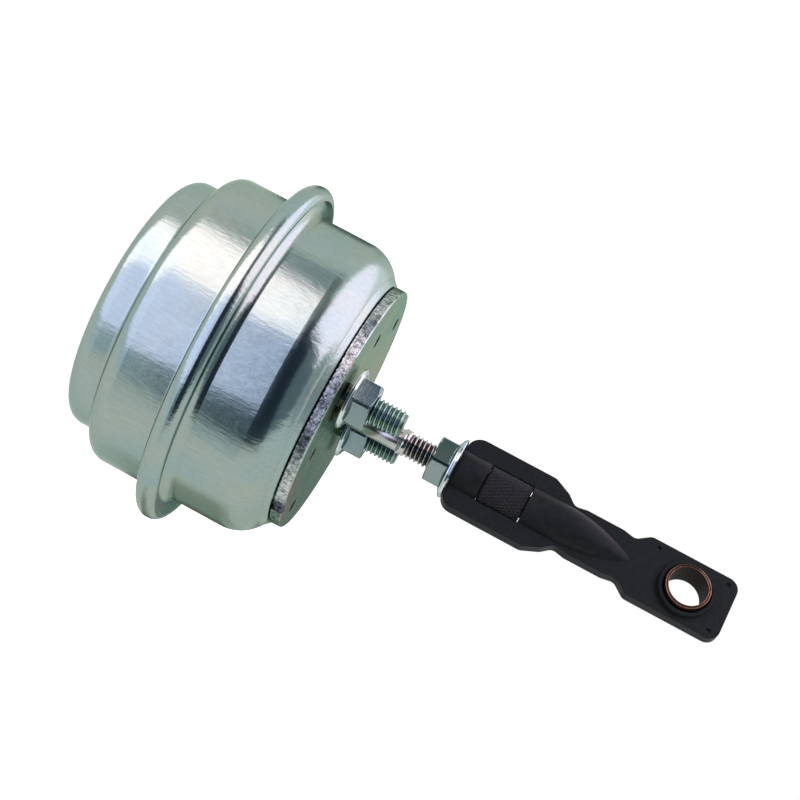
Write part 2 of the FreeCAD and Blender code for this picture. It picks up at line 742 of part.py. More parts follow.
def actuator_rod():
    """Rod with a riveted inner end, a plain part, a collar and the adjusting thread."""
    collar_end = size["collar_start"] + size["collar_length"]
    tip = size["link_start"] + size["rod_past_link"]
    chamfer = size["thread_chamfer"]
    return turned_part("actuator_rod", [
        (ZERO, rivet_end),
        (size["rivet_radius"], rivet_end, size["rivet_round"]),
        (size["rivet_radius"], washer_back),
        (size["rod_neck_radius"], washer_back),
        (size["rod_neck_radius"], disc_front),
        (size["rod_radius"], disc_front),
        (size["rod_radius"], size["collar_start"]),
        (size["collar_radius"], size["collar_start"]),
        (size["collar_radius"], collar_end),
        (size["rod_radius"], collar_end),
        (size["thread_radius"], collar_end + chamfer),
        (size["thread_radius"], tip - chamfer),
        (size["thread_radius"] - chamfer, tip),
        (ZERO, tip),
    ])


def rod_lock_nut():
    """Flange nut on the rod, with its flange against the link."""
    body = flange_nut("rod_lock_nut", nut_bore)
    flip = FreeCAD.Rotation(V(1, 0, 0), HALF_TURN)
    turn = FreeCAD.Rotation(V(0, 0, 1), NUT_TURN)
    body.Placement = FreeCAD.Placement(V(0, 0, size["link_start"].value), turn.multiply(flip))
    bind(body, "Placement.Base.z", size["link_start"])
    return body


def adjuster_sleeve():
    """Sleeve nut held in the link's window. Turning it moves the link along the rod."""
    start = size["link_start"] + size["window_start"] + size["sleeve_end_clear"]
    stop = start + size["window_length"] - size["sleeve_end_clear"] * 2
    chamfer = size["sleeve_chamfer"]
    return turned_part("adjuster_sleeve", [
        (nut_bore, start),
        (size["sleeve_radius"] - chamfer, start),
        (size["sleeve_radius"], start + chamfer),
        (size["sleeve_radius"], stop - chamfer),
        (size["sleeve_radius"] - chamfer, stop),
        (nut_bore, stop),
    ])


def link_outline(start):
    """Outline of both halves of the link, first up the +X side and then down the -X side."""
    side = [
        ("wide_half", ZERO, "wide_corner"),
        ("wide_half", size["wide_end"], "wide_round"),
        ("taper_half", size["taper_end"], "taper_round"),
        ("relief_half", size["first_relief"], "relief_round"),
        ("neck_half", size["neck_start"], "relief_round"),
        ("neck_half", size["neck_end"], "relief_round"),
        ("relief_half", size["second_relief"], "relief_round"),
        ("eye_half", size["eye_start"], "eye_round"),
        ("eye_half", size["link_length"], "end_corner"),
    ]
    right = [(size[half], start + along, size[rounding]) for half, along, rounding in side]
    left = [(-across, along, rounding) for across, along, rounding in reversed(right)]
    return right + left


def link_half(label, rear):
    """One stamped half of the link, on the -Y side or (rear) on the +Y side."""
    start = size["link_start"]
    body = new_body(label)
    outline = new_sketch(body, f"{label}_outline")
    draw_outline(outline, link_outline(start))
    pad(body, f"{label}_plate", outline, size["link_sheet"], back=rear)
    boss_end = start + size["boss_length"]
    revolve(body, f"{label}_boss", [
        (ZERO, start),
        (size["boss_radius"], start),
        (size["boss_radius"], boss_end - size["boss_fall"], size["boss_bend"]),
        (size["link_sheet"], boss_end),
        (ZERO, boss_end),
    ], angle=HALF_TURN, back=not rear)
    bore = size["boss_radius"] - size["link_sheet"]
    bore_end = boss_end - size["boss_tip"]
    past = start - size["link_sheet"]
    revolve(body, f"{label}_channel", [
        (ZERO, past),
        (bore, past),
        (bore, start + size["bore_length"]),
        (size["link_sheet"], bore_end),
        (ZERO, bore_end),
    ], kind="PartDesign::Groove")
    eye = start + size["eye_place"]
    seat = size["eye_radius"] + size["bush_wall"] + size["press_clear"]
    groove = seat + size["eye_groove"]
    ring = new_sketch(body, f"{label}_eye_collar_outline")
    draw_circle(ring, ZERO, eye, groove + size["eye_collar_wall"])
    draw_circle(ring, ZERO, eye, groove)
    collar_height = size["link_sheet"] + size["eye_collar_height"]
    pad(body, f"{label}_eye_collar", ring, collar_height, back=rear)
    opening = new_sketch(body, f"{label}_eye_outline")
    draw_circle(opening, ZERO, eye, seat)
    cut(body, f"{label}_eye", opening)
    window = new_sketch(body, f"{label}_window_outline")
    half = size["sleeve_radius"] + size["window_clear"]
    low = start + size["window_start"]
    high = low + size["window_length"]
    draw_outline(window, [
        (half, low, size["window_corner"]),
        (half, high, size["window_corner"]),
        (-half, high, size["window_corner"]),
        (-half, low, size["window_corner"]),
    ])
    cut(body, f"{label}_window", window)
    return body


def clinch_dimples(body):
    """Three small dimples near the eye, in the outer face of the front half."""
    start = size["link_start"]
    spots = new_sketch(body, "dimples_outline")
    draw_circle(spots, -size["dimple_half"], start + size["dimple_near"], size["dimple_radius"])
    draw_circle(spots, -size["dimple_half"], start + size["dimple_far"], size["dimple_radius"])
    draw_circle(spots, size["dimple_half"], start + size["dimple_far"], size["dimple_radius"])
    spots.AttachmentOffset = FreeCAD.Placement(
        V(0, 0, size["link_sheet"].value), FreeCAD.Rotation())
    bind(spots, "AttachmentOffset.Base.z", size["link_sheet"])
    cut(body, "dimples", spots, size["dimple_deep"])


def eye_bush():
    """Plain bush pressed into the eye, standing proud of both collars."""
    outer = size["eye_radius"] + size["bush_wall"]
    half = size["bush_length"] / 2
    body = turned_part("eye_bush", [
        (size["eye_radius"], -half),
        (outer, -half, size["bush_round"]),
        (outer, half, size["bush_round"]),
        (size["eye_radius"], half),
    ])
    place = size["link_start"] + size["eye_place"]
    body.Placement = FreeCAD.Placement(
        V(0, 0, place.value), FreeCAD.Rotation(V(1, 0, 0), -HALF_TURN / 2))
    bind(body, "Placement.Base.z", place)
    return body


def check_document():
    """Stops if any object failed to build."""
    for item in doc.Objects:
        if "Invalid" in item.State or "Error" in item.State:
            raise RuntimeError(f"{item.Name} failed: {item.State}")


def write_parts(parts):
    """Writes each sub-part to its own file, named by its label."""
    for item in parts:
        shape = item.Shape
        if shape.isNull() or not shape.isValid():
            raise RuntimeError(f"{item.Label} has no sound shape")
    os.makedirs("parts", exist_ok=True)
    for item in parts:
        item.Shape.exportStep(f"parts/{item.Label}.step")
        box = item.Shape.BoundBox
        print(f"{item.Label}: {len(item.Shape.Solids)} solids, {item.Shape.Volume:.1f} mm3, "
              f"z {box.ZMin:.2f} to {box.ZMax:.2f}")


def main():
    parts = [
        rear_cover(),
        front_cup(),
        mounting_plate(),
        pair_about_axis("mounting_studs", stud, 0.0, ZERO),
        pair_about_axis("stud_flange_nuts", stud_nut, NUT_TURN - size["stud_angle"].value,
                        size["nut_standoff"]),
        vacuum_nipple(),
        diaphragm(),
        piston(),
        diaphragm_plate(),
        rivet_washer(),
        spring_seat(),
        return_spring(),
        guide_bush(),
        rod_wiper(),
        guide_housing(),
        actuator_rod(),
        rod_lock_nut(),
        adjuster_sleeve(),
    ]
    front_half = link_half("link_plate_front", rear=False)
    clinch_dimples(front_half)
    parts += [front_half, link_half("link_plate_rear", rear=True), eye_bush()]
    doc.recompute()
    check_document()
    write_parts(parts)


main()
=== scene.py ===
import math

import bmesh
import bpy
from mathutils import Matrix, Vector


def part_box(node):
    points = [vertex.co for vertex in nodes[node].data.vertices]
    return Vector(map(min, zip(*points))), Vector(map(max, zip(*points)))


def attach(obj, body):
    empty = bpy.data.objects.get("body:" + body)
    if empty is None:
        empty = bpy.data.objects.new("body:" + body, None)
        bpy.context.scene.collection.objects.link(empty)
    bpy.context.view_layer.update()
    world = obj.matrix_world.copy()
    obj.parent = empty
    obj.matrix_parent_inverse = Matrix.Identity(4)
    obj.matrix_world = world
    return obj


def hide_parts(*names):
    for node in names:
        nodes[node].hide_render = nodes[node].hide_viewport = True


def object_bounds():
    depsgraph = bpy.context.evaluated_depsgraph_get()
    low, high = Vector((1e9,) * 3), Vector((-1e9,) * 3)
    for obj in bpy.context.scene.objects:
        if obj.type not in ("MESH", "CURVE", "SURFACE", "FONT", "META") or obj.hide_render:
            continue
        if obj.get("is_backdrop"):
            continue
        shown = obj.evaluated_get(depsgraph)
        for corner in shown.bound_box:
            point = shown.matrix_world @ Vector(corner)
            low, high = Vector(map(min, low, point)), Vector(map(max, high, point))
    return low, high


MM = 0.001
TURN = 2 * math.pi

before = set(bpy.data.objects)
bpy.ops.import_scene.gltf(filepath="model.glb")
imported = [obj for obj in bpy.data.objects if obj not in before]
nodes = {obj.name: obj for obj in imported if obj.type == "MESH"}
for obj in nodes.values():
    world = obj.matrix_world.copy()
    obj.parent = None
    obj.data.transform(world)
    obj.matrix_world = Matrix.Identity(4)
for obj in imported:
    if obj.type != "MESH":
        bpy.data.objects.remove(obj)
cad_low, cad_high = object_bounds()


# Camera and stage

# The photograph's viewpoint from the outlines' fit: place in mm, axes of the image, lens in px.
CAMERA_PLACE = (187.89, -344.25, 42.59)
IMAGE_RIGHT = (-0.446451, -0.16905, 0.878694)
IMAGE_DOWN = (0.746064, 0.471846, 0.469841)
FOCAL_PX = 1851.1
IMAGE_PX = 800.0
SENSOR_MM = 36.0


def make_camera():
    """Camera at the photograph's viewpoint."""
    right = Vector(IMAGE_RIGHT).normalized()
    down = Vector(IMAGE_DOWN)
    down = (down - right * down.dot(right)).normalized()
    into = right.cross(down)
    data = bpy.data.cameras.new("photo_camera")
    data.sensor_width = SENSOR_MM
    data.lens = FOCAL_PX * SENSOR_MM / IMAGE_PX
    data.clip_start = 0.01
    data.clip_end = 20.0
    camera = bpy.data.objects.new("photo_camera", data)
    turn = Matrix((right, -down, -into)).transposed().to_4x4()
    camera.matrix_world = Matrix.Translation(Vector(CAMERA_PLACE) * MM) @ turn
    bpy.context.scene.collection.objects.link(camera)
    bpy.context.scene.camera = camera


def around(azimuth, height, distance):
    """A point round the part's axis. azimuth is in degrees, from +X towards +Y."""
    angle = math.radians(azimuth)
    return Vector((distance * math.cos(angle), distance * math.sin(angle), height))


def soft_box(name, azimuth, height, distance, size, energy):
    """Plain soft lamp that faces the part."""
    data = bpy.data.lights.new(name, "AREA")
    data.shape = "SQUARE"
    data.size = size
    data.energy = energy
    lamp = bpy.data.objects.new(name, data)
    lamp.location = around(azimuth, height, distance)
    lamp.rotation_mode = "QUATERNION"
    lamp.rotation_quaternion = lamp.location.to_track_quat("Z", "Y")
    lamp.visible_camera = False
    lamp.visible_glossy = False
    bpy.context.scene.collection.objects.link(lamp)


def glowing(name, points, faces, colour, strength):
    """Studio card of plain even light. Only gloss shows it."""
    mesh = bpy.data.meshes.new(name)
    mesh.from_pydata(points, [], faces)
    item = bpy.data.objects.new(name, mesh)
    bpy.context.scene.collection.objects.link(item)
    material = bpy.data.materials.new(name)
    material.use_nodes = True
    tree = material.node_tree
    tree.nodes.clear()
    out = tree.nodes.new("ShaderNodeOutputMaterial")
    glow = tree.nodes.new("ShaderNodeEmission")
    glow.inputs["Color"].default_value = (*colour, 1.0)
    glow.inputs["Strength"].default_value = strength
    tree.links.new(glow.outputs[0], out.inputs["Surface"])
    mesh.materials.append(material)
    item.visible_camera = False
    item.visible_diffuse = False
    item.visible_shadow = False
    item.visible_transmission = False
    item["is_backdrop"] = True


CARD_FACETS = 24


def card(name, start, stop, low, high, distance, colour, strength):
    """Card bent round the part's axis, between two azimuths and two heights."""
    points = []
    for i in range(CARD_FACETS + 1):
        azimuth = start + (stop - start) * i / CARD_FACETS
        points += [around(azimuth, low, distance), around(azimuth, high, distance)]
    faces = [(2 * i, 2 * i + 1, 2 * i + 3, 2 * i + 2) for i in range(CARD_FACETS)]
    glowing(name, points, faces, colour, strength)


def lid(height, radius, colour):
    """Round flat card overhead."""
    corners = [around(360 * i / CARD_FACETS, height, radius) for i in range(CARD_FACETS)]
    glowing("lid", corners, [list(range(CARD_FACETS))], colour, 1.0)


def seen_directly(tree):
    """1 for camera, gloss and transmission rays, 0 for the rest."""
    path = tree.nodes.new("ShaderNodeLightPath")
    first = tree.nodes.new("ShaderNodeMath")
    first.operation = "MAXIMUM"
    second = tree.nodes.new("ShaderNodeMath")
    second.operation = "MAXIMUM"
    tree.links.new(path.outputs["Is Camera Ray"], first.inputs[0])
    tree.links.new(path.outputs["Is Glossy Ray"], first.inputs[1])
    tree.links.new(first.outputs[0], second.inputs[0])
    tree.links.new(path.outputs["Is Transmission Ray"], second.inputs[1])
    return second.outputs[0]


WORLD_LIGHT = 0.5


def make_world():
    """White where it is seen or mirrored, and half as strong where it lights."""
    world = bpy.data.worlds.new("studio")
    bpy.context.scene.world = world
    world.use_nodes = True
    tree = world.node_tree
    tree.nodes.clear()
    out = tree.nodes.new("ShaderNodeOutputWorld")
    mix = tree.nodes.new("ShaderNodeMixShader")
    lit = tree.nodes.new("ShaderNodeBackground")
    seen = tree.nodes.new("ShaderNodeBackground")
    lit.inputs["Color"].default_value = (1.0, 1.0, 1.0, 1.0)
    lit.inputs["Strength"].default_value = WORLD_LIGHT
    seen.inputs["Color"].default_value = (1.0, 1.0, 1.0, 1.0)
    seen.inputs["Strength"].default_value = 1.0
    tree.links.new(seen_directly(tree), mix.inputs[0])
    tree.links.new(lit.outputs[0], mix.inputs[1])
    tree.links.new(seen.outputs[0], mix.inputs[2])
    tree.links.new(mix.outputs[0], out.inputs["Surface"])


FLOOR_HALF = 3.0
FLOOR_GAP = 0.00005
FLOOR_GREY = (0.8, 0.8, 0.8, 1.0)
FLOOR_GLOW = 0.74


def make_floor():
    """Pale floor under the rear face of the can, which the part stands on."""
    size = FLOOR_HALF
    low = cad_low.z - FLOOR_GAP
    corners = [(-size, -size, low), (size, -size, low), (size, size, low), (-size, size, low)]
    mesh = bpy.data.meshes.new("floor")
    mesh.from_pydata(corners, [], [(0, 1, 2, 3)])
    floor = bpy.data.objects.new("floor", mesh)
    bpy.context.scene.collection.objects.link(floor)
    material = bpy.data.materials.new("floor")
    material.use_nodes = True
    tree = material.node_tree
    tree.nodes.clear()
    out = tree.nodes.new("ShaderNodeOutputMaterial")
    add = tree.nodes.new("ShaderNodeAddShader")
    diffuse = tree.nodes.new("ShaderNodeBsdfDiffuse")
    diffuse.inputs["Color"].default_value = FLOOR_GREY
    glow = tree.nodes.new("ShaderNodeEmission")
    glow.inputs["Color"].default_value = (1.0, 1.0, 1.0, 1.0)
    scale = tree.nodes.new("ShaderNodeMath")
    scale.operation = "MULTIPLY"
    scale.inputs[1].default_value = FLOOR_GLOW
    tree.links.new(seen_directly(tree), scale.inputs[0])
    tree.links.new(scale.outputs[0], glow.inputs["Strength"])
    tree.links.new(diffuse.outputs[0], add.inputs[0])
    tree.links.new(glow.outputs[0], add.inputs[1])
    tree.links.new(add.outputs[0], out.inputs["Surface"])
    mesh.materials.append(material)
    floor.visible_glossy = False
    floor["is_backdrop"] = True


FACING = -60.3     # azimuth from the part to the camera, in degrees

# Studio cards, which only gloss shows: name, azimuths from FACING, heights and distance in
# metres, colour, strength. The front cup mirrors the heights above -0.17, the rear ones the rest.
WHITE = (1.2, 1.0, 1.1)
LILAC = (0.89, 0.87, 1.2)
NAVY = (0.03, 0.045, 0.075)
CARDS = [
    ("surround", -66, 54, -0.2, 0.62, 0.95, NAVY, 1.0),
    ("overhead", -40, 45, 0.62, 3.1, 0.95, (0.2, 0.26, 0.31), 1.0),
    ("ceiling", -140, 140, 2.7, 7.0, 0.8, (0.45, 0.57, 0.64), 1.0),
    ("key_front", -66, -29, -0.172, -0.095, 0.8, WHITE, 2.75),
    ("key_high", -45, -29, -0.095, -0.07, 0.8, WHITE, 2.75),
    ("key_rear", -74, -29, -2.5, -0.172, 0.8, WHITE, 2.75),
    ("gap_front", -90, -66, -0.172, -0.095, 0.8, (0.35, 0.46, 0.52), 1.0),
    ("gap_middle", -90, -45, -0.095, -0.045, 0.8, (0.19, 0.25, 0.35), 1.0),
    ("gap_high", -90, -45, -0.045, 0.1, 0.8, (0.28, 0.33, 0.31), 1.0),
    ("fill_front", -29, 26, -0.172, -0.1, 0.8, LILAC, 1.38),
    ("fill_rear", -29, 30, -0.232, -0.172, 0.8, LILAC, 2.2),
    ("fill_drum", -29, 31, -0.27, -0.232, 0.8, LILAC, 1.55),
    ("fill_shoulder", -29, 31, -2.5, -0.27, 0.8, LILAC, 1.95),
    ("edge_front", 54, 66, -0.172, -0.1, 0.8, (0.55, 0.68, 0.76), 1.0),
    ("edge_rear", 30, 54, -0.232, -0.172, 0.8, (0.55, 0.7, 0.85), 1.0),
    ("edge_drum", 31, 54, -2.5, -0.232, 0.8, (0.83, 0.95, 1.1), 1.0),
    ("left_high", -138, -40, 0.2, 2.2, 0.8, (1.15, 0.95, 1.15), 2.25),
    ("left_back", -165, -138, 0.2, 1.45, 0.8, (1.0, 0.93, 1.02), 1.7),
    ("plate_back", 160, 178, -0.02, 0.3, 0.85, (0.3, 0.32, 0.35), 1.0),
    ("low_side", 116, 150, -0.19, -0.08, 0.8, (0.46, 0.55, 0.5), 1.0),
    ("low_side_far", 150, 212, -0.19, -0.08, 0.8, (0.14, 0.18, 0.16), 1.0),
    ("low_side_soft", 116, 212, -0.08, 0.04, 0.8, (0.62, 0.7, 0.66), 1.0),
]

make_camera()
make_world()
make_floor()
soft_box("key_lamp", FACING - 45, height=0.6, distance=0.75, size=0.5, energy=7.0)
soft_box("fill_lamp", FACING + 60, height=0.3, distance=0.8, size=0.5, energy=3.0)
for name, start, stop, low, high, distance, colour, strength in CARDS:
    card(name, FACING + start, FACING + stop, low, high, distance, colour, strength)
lid(height=6.9, radius=0.8, colour=(0.42, 0.44, 0.53))

bpy.context.scene.view_settings.view_transform = "Standard"


# Materials

def new_material(name, metal=0.0):
    """New material, its node tree and its shader."""
    material = bpy.data.materials.new(name)
    material.use_nodes = True
    tree = material.node_tree
    shader = tree.nodes["Principled BSDF"]
    shader.inputs["Metallic"].default_value = metal
    return material, tree, shader


def object_coordinates(tree, scale):
    """The object's coordinates, stretched."""
    place = tree.nodes.new("ShaderNodeTexCoord")
    stretch = tree.nodes.new("ShaderNodeMapping")
    stretch.inputs["Scale"].default_value = scale
    tree.links.new(place.outputs["Object"], stretch.inputs["Vector"])
    return stretch.outputs["Vector"]


def noise(tree, stretch, scale=1.0, detail=3.0, rough=0.6, distortion=0.0):
    """Noise of the object's coordinates. stretch times scale is its cells per metre."""
    node = tree.nodes.new("ShaderNodeTexNoise")
    node.inputs["Scale"].default_value = scale
    node.inputs["Detail"].default_value = detail
    node.inputs["Roughness"].default_value = rough
    node.inputs["Distortion"].default_value = distortion
    tree.links.new(object_coordinates(tree, stretch), node.inputs["Vector"])
    return node.outputs["Fac"]


def ramp(tree, value, stops):
    """Colour ramp from (position, colour) pairs."""
    node = tree.nodes.new("ShaderNodeValToRGB")
    line = node.color_ramp
    while len(line.elements) > 1:
        line.elements.remove(line.elements[-1])
    for i, (at, colour) in enumerate(stops):
        stop = line.elements[0] if i == 0 else line.elements.new(at)
        stop.position = at
        stop.color = (*colour, 1.0)
    tree.links.new(value, node.inputs["Fac"])
    return node.outputs["Color"]


def spread(tree, value, low, high):
    """Maps 0..1 on to low..high."""
    node = tree.nodes.new("ShaderNodeMapRange")
    node.inputs["To Min"].default_value = low
    node.inputs["To Max"].default_value = high
    tree.links.new(value, node.inputs["Value"])
    return node.outputs["Result"]


def multiply(tree, first, second):
    """Two colours multiplied."""
    node = tree.nodes.new("ShaderNodeMix")
    node.data_type = "RGBA"
    node.blend_type = "MULTIPLY"
    node.inputs["Factor"].default_value = 1.0
    tree.links.new(first, node.inputs["A"])
    tree.links.new(second, node.inputs["B"])
    return node.outputs["Result"]


def bump(tree, shader, height, strength, distance):
    """Fine relief from a height. distance is in metres."""
    node = tree.nodes.new("ShaderNodeBump")
    node.inputs["Strength"].default_value = strength
    node.inputs["Distance"].default_value = distance
    tree.links.new(height, node.inputs["Height"])
    tree.links.new(node.outputs["Normal"], shader.inputs["Normal"])


# Grains are noise cells per metre.
CAN_GRAIN = (1500, 1500, 420)
FASTENER_GRAIN = (1300, 1300, 1300)
CLOUD_GRAIN = (160, 160, 60)
ZINC_SHADE = [(0.3, (0.93, 0.94, 0.95)), (0.7, (1.03, 1.03, 1.03))]
ZINC_GRAZING = (0.62, 0.7, 0.64, 1.0)
STREAK_SHARE = 1.6


def zinc(name, tones, grain, rough, relief):
    """Zinc plating: a grey with a faint change of hue, a fine grain and longer streaks."""
    material, tree, shader = new_material(name, metal=1.0)
    shader.inputs["Specular Tint"].default_value = ZINC_GRAZING
    broad = noise(tree, (1, 1, 1), scale=38.0, detail=2.0, rough=0.5, distortion=0.8)
    colour = ramp(tree, broad, tones)
    fine = noise(tree, grain, distortion=0.2)
    shade = ramp(tree, fine, ZINC_SHADE)
    tree.links.new(multiply(tree, colour, shade), shader.inputs["Base Color"])
    cloud = noise(tree, CLOUD_GRAIN)
    tree.links.new(spread(tree, cloud, *rough), shader.inputs["Roughness"])
    streak = noise(tree, (grain[0] / 3, grain[1] / 3, grain[2] / 4), detail=2.0)
    both = tree.nodes.new("ShaderNodeMath")
    both.operation = "MULTIPLY_ADD"
    both.inputs[1].default_value = STREAK_SHARE
    tree.links.new(streak, both.inputs[0])
    tree.links.new(fine, both.inputs[2])
    bump(tree, shader, both.outputs[0], strength=1.0, distance=relief)
    return material


PLATE_GRAZING = (0.34, 0.45, 0.36, 1.0)
FACES_UP = [(0.5, (0.0, 0.0, 0.0)), (0.9, (1.0, 1.0, 1.0))]


def plate_finish(name):
    """Plate: green plated face and a silvery, rougher rim, told apart by the way they face."""
    material, tree, shader = new_material(name, metal=1.0)
    shader.inputs["Specular Tint"].default_value = PLATE_GRAZING
    place = tree.nodes.new("ShaderNodeTexCoord")
    parts = tree.nodes.new("ShaderNodeSeparateXYZ")
    tree.links.new(place.outputs["Normal"], parts.inputs["Vector"])
    face = ramp(tree, parts.outputs["Z"], FACES_UP)
    patch = noise(tree, (60, 60, 60), detail=2.0, rough=0.5, distortion=1.0)
    green = ramp(tree, patch, PLATE_TONES)
    sparkle = noise(tree, (1100, 1100, 900), detail=4.0, rough=0.75)
    silver = ramp(tree, sparkle, PLATE_RIM_TONES)
    mix = tree.nodes.new("ShaderNodeMix")
    mix.data_type = "RGBA"
    tree.links.new(face, mix.inputs["Factor"])
    tree.links.new(silver, mix.inputs["A"])
    tree.links.new(green, mix.inputs["B"])
    tree.links.new(mix.outputs["Result"], shader.inputs["Base Color"])
    tree.links.new(spread(tree, sparkle, 0.14, 0.32), shader.inputs["Roughness"])
    bump(tree, shader, sparkle, strength=1.0, distance=0.00004)
    return material


COAT_GRAZING = (0.8, 0.9, 1.0, 1.0)


def black_coat(name, base, rough):
    """Satin black coating with a fine speck."""
    material, tree, shader = new_material(name)
    shader.inputs["Specular IOR Level"].default_value = 0.1
    shader.inputs["Specular Tint"].default_value = COAT_GRAZING
    speck = noise(tree, (1, 1, 1), scale=900.0)
    colour = ramp(tree, speck, [(0.3, base), (0.75, tuple(c * 1.5 for c in base))])
    tree.links.new(colour, shader.inputs["Base Color"])
    tree.links.new(spread(tree, speck, *rough), shader.inputs["Roughness"])
    bump(tree, shader, speck, strength=0.15, distance=0.0001)
    return material


def bronze(name):
    """Dull bronze, browned in patches."""
    material, tree, shader = new_material(name, metal=1.0)
    patch = noise(tree, (1, 1, 1), scale=350.0, detail=4.0)
    tree.links.new(ramp(tree, patch, BRONZE_TONES), shader.inputs["Base Color"])
    tree.links.new(spread(tree, patch, 0.3, 0.5), shader.inputs["Roughness"])
    bump(tree, shader, patch, strength=0.15, distance=0.0001)
    return material


def paint_root_shade(material, colour):
    """Painted shade: takes the base colour down to the given one in the roots of a thread."""
    tree = material.node_tree
    shader = tree.nodes["Principled BSDF"]
    root = tree.nodes.new("ShaderNodeAttribute")
    root.attribute_name = "root"
    mix = tree.nodes.new("ShaderNodeMix")
    mix.data_type = "RGBA"
    mix.inputs["B"].default_value = (*colour, 1.0)
    before = shader.inputs["Base Color"].links[0].from_socket
    tree.links.new(root.outputs["Fac"], mix.inputs["Factor"])
    tree.links.new(before, mix.inputs["A"])
    tree.links.new(mix.outputs["Result"], shader.inputs["Base Color"])


def plain(name, colour, rough, metal=0.0):
    """Even material whose tone and roughness change a little."""
    material, tree, shader = new_material(name, metal)
    speck = noise(tree, (1, 1, 1), scale=400.0)
    darker = tuple(c * 0.8 for c in colour)
    lighter = tuple(min(1, c * 1.15) for c in colour)
    tone = ramp(tree, speck, [(0.25, darker), (0.75, lighter)])
    tree.links.new(tone, shader.inputs["Base Color"])
    tree.links.new(spread(tree, speck, rough - 0.06, rough + 0.06), shader.inputs["Roughness"])
    bump(tree, shader, speck, strength=0.1, distance=0.0001)
    return material


# Tones are (place in the noise, colour) pairs.
CAN_TONES = [(0.32, (0.29, 0.385, 0.37)), (0.5, (0.32, 0.395, 0.36)), (0.68, (0.35, 0.395, 0.335))]
PLATE_TONES = [(0.32, (0.24, 0.45, 0.37)), (0.45, (0.38, 0.48, 0.39)), (0.55, (0.46, 0.48, 0.38)),
               (0.66, (0.62, 0.44, 0.4))]
STUD_TONES = [(0.3, (0.22, 0.36, 0.33)), (0.5, (0.30, 0.45, 0.40)), (0.7, (0.42, 0.52, 0.45))]
NUT_TONES = [(0.3, (0.16, 0.24, 0.27)), (0.5, (0.23, 0.3, 0.3)), (0.7, (0.29, 0.33, 0.28))]
# Tones of a brighter copy of the nut's zinc for the flanges: a painted highlight.
FLANGE_HIGHLIGHT_TONES = [(0.3, (0.42, 0.5, 0.53)), (0.5, (0.6, 0.66, 0.66)), (0.7, (0.7, 0.72, 0.68))]
PLATE_RIM_TONES = [(0.38, (0.1, 0.12, 0.12)), (0.5, (0.34, 0.38, 0.37)), (0.62, (0.56, 0.6, 0.58))]
BRONZE_TONES = [(0.3, (0.06, 0.03, 0.02)), (0.5, (0.22, 0.12, 0.08)), (0.75, (0.42, 0.25, 0.17))]

can_zinc = zinc("can_zinc", CAN_TONES, CAN_GRAIN, rough=(0.15, 0.24), relief=0.000032)
plate_zinc = plate_finish("plate_zinc")
nut_zinc = zinc("nut_zinc", NUT_TONES, FASTENER_GRAIN, rough=(0.07, 0.13), relief=0.000004)
# Brighter copy of the nut's zinc for the flanges: a painted highlight.
flange_highlight_zinc = zinc("flange_highlight_zinc", FLANGE_HIGHLIGHT_TONES, FASTENER_GRAIN, rough=(0.1, 0.18), relief=0.00001)
stud_zinc = zinc("stud_zinc", STUD_TONES, FASTENER_GRAIN, rough=(0.16, 0.26), relief=0.000005)
# Painted shade in the thread roots of the studs and the rod.
paint_root_shade(stud_zinc, (0.13, 0.18, 0.165))
rod_steel = plain("rod_steel", (0.46, 0.45, 0.43), rough=0.17, metal=1.0)
paint_root_shade(rod_steel, (0.03, 0.028, 0.026))
inner_steel = plain("inner_steel", (0.45, 0.45, 0.44), rough=0.35, metal=1.0)
spring_wire = plain("spring_wire", (0.16, 0.16, 0.17), rough=0.35, metal=1.0)
link_black = black_coat("link_black", (0.007, 0.0078, 0.0086), rough=(0.36, 0.5))
sleeve_black = black_coat("sleeve_black", (0.014, 0.014, 0.016), rough=(0.3, 0.42))
bush_bronze = bronze("bush_bronze")
bush_groove = plain("bush_groove", (0.035, 0.015, 0.01), rough=0.4, metal=0.6)
bush_dark_bore = plain("bush_dark_bore", (0.014, 0.011, 0.008), rough=0.6)
bush_dark_bore.node_tree.nodes["Principled BSDF"].inputs["Specular IOR Level"].default_value = 0.08
rubber = plain("rubber", (0.02, 0.02, 0.021), rough=0.7)
nylon = plain("nylon", (0.05, 0.05, 0.052), rough=0.5)

NODE_MATERIALS = {
    "rear_cover": can_zinc, "front_cup": can_zinc, "mounting_plate": plate_zinc,
    "mounting_studs": nut_zinc, "stud_flange_nuts": nut_zinc, "vacuum_nipple": can_zinc,
    "diaphragm": rubber, "piston": inner_steel, "diaphragm_plate": inner_steel,
    "rivet_washer": inner_steel, "spring_seat": inner_steel, "return_spring": spring_wire,
    "guide_bush": nylon, "rod_wiper": rubber, "guide_housing": inner_steel,
    "actuator_rod": rod_steel, "rod_lock_nut": nut_zinc, "adjuster_sleeve": sleeve_black,
    "link_plate_front": link_black, "link_plate_rear": link_black, "eye_bush": bush_bronze,
}


def dress(node, material):
    """Gives a CAD node its material in every slot."""
    mesh = nodes[node].data
    if not mesh.materials:
        mesh.materials.append(material)
    for i in range(len(mesh.materials)):
        mesh.materials[i] = material


for node, material in NODE_MATERIALS.items():
    dress(node, material)


def soften(node, width):
    """Small rounded edges on a CAD node, by modifiers alone. width is in mm."""
    item = nodes[node]
    weld = item.modifiers.new("weld", "WELD")
    weld.merge_threshold = 0.000002
    edge = item.modifiers.new("edge", "BEVEL")
    edge.width = width * MM
    edge.segments = 2
    edge.limit_method = "ANGLE"
    edge.angle_limit = math.radians(35.0)
    edge.use_clamp_overlap = True
    edge.harden_normals = False


# Detail pieces, in mm

